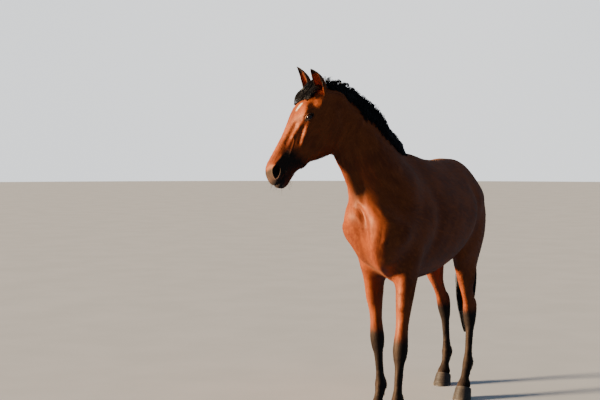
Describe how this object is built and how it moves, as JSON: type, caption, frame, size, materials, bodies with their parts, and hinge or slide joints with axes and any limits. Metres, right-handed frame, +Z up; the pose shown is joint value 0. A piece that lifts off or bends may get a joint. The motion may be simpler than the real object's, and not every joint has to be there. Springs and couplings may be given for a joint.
{
  "type": "horse",
  "caption": "Life-size standing horse with pricked ears, mane, forelock and tail, head turned to its right, legs in an open walking stance.",
  "frame": {"origin": "on the ground, under the middle of the horse's bounding box", "axes": "+Z up, the trunk lies along Y with the chest towards -Y, +X towards the horse's left side"},
  "size_m": [0.8016, 2.1964, 2.1111],
  "materials": {
    "bay_coat": "short glossy red-brown hair lying flat over the skin",
    "black_points": "short black hair of the lower legs",
    "black_hair": "long black wavy hair, softly glossy",
    "hoof_horn": "dark horn with fine growth rings, satin",
    "dark_eye": "wet dark brown eye, polished"
  },
  "bodies": {
    "root": {"ear_left": "bay_coat", "ear_right": "bay_coat", "eye_left": "dark_eye", "eye_right": "dark_eye", "fore_hoof_left": "hoof_horn", "fore_hoof_right": "hoof_horn", "fore_pastern_left": "black_points", "fore_pastern_right": "black_points", "fore_shank_left": "black_points", "fore_shank_right": "black_points", "forearm_left": "bay_coat", "forearm_right": "bay_coat", "forelock": "black_hair", "head": "bay_coat", "hind_hoof_left": "hoof_horn", "hind_hoof_right": "hoof_horn", "hind_pastern_left": "black_points", "hind_pastern_right": "black_points", "hind_shank_left": "black_points", "hind_shank_right": "black_points", "mane": "black_hair", "neck": "bay_coat", "tail": "black_hair", "thigh_left": "bay_coat", "thigh_right": "bay_coat", "trunk": "bay_coat"}
  },
  "joints": []
}
